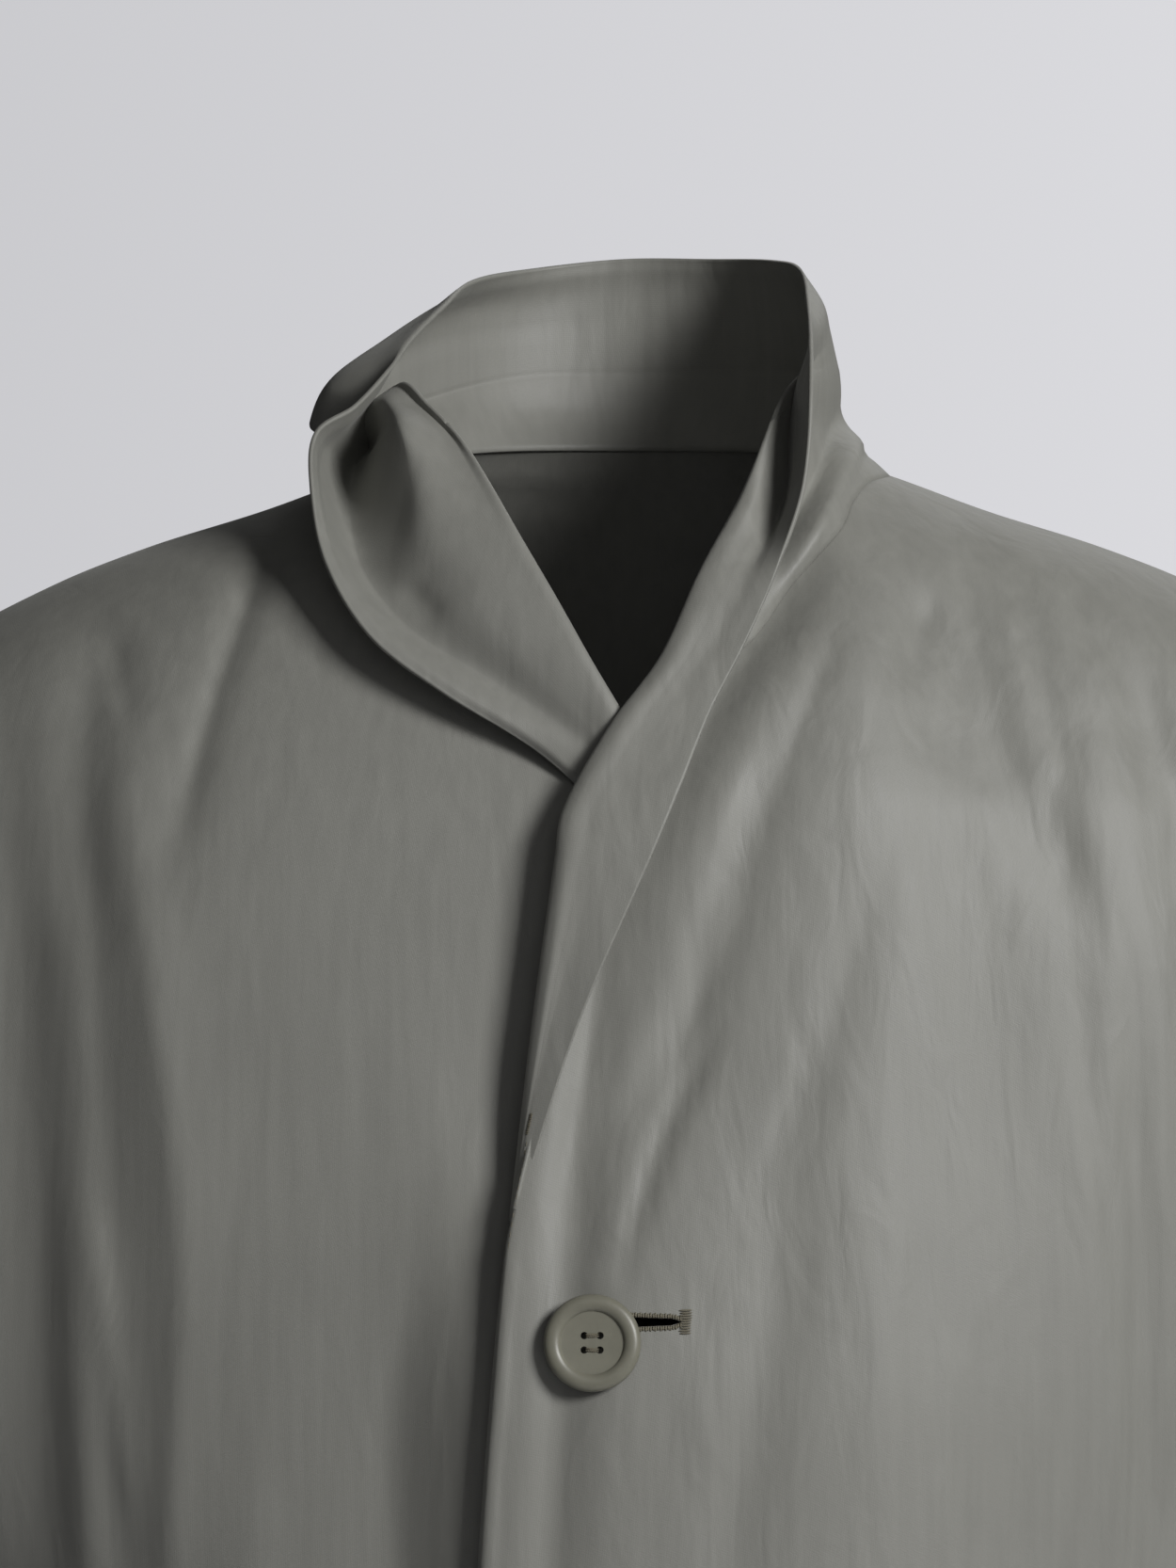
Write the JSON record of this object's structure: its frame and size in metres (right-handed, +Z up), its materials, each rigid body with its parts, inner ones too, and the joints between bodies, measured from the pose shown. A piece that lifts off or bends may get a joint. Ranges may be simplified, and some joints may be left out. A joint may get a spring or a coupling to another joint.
{
  "type": "parka coat",
  "caption": "Oversized long-sleeved coat with a tall soft roll collar and an overlapping buttoned front, shown hollow in its worn, hanging form.",
  "frame": {"origin": "middle of the neck base, between the two points where the shoulder seams meet the neck seam, where the wearer's neck and shoulders hold the coat up", "axes": "+Z up the wearer's spine, the coat's longest extent; the front faces -Y and the wearer's left side is +X"},
  "size_m": [0.7972, 0.4013, 1.1671],
  "materials": {
    "cloth": "satin",
    "button": "matt"
  },
  "bodies": {
    "root": {"front_left": "cloth", "front_right": "cloth", "back": "cloth", "sleeve_left": "cloth", "sleeve_right": "cloth", "collar": "cloth", "button_1": "button", "button_2": "button", "button_3": "button", "button_4": "button"}
  },
  "joints": []
}
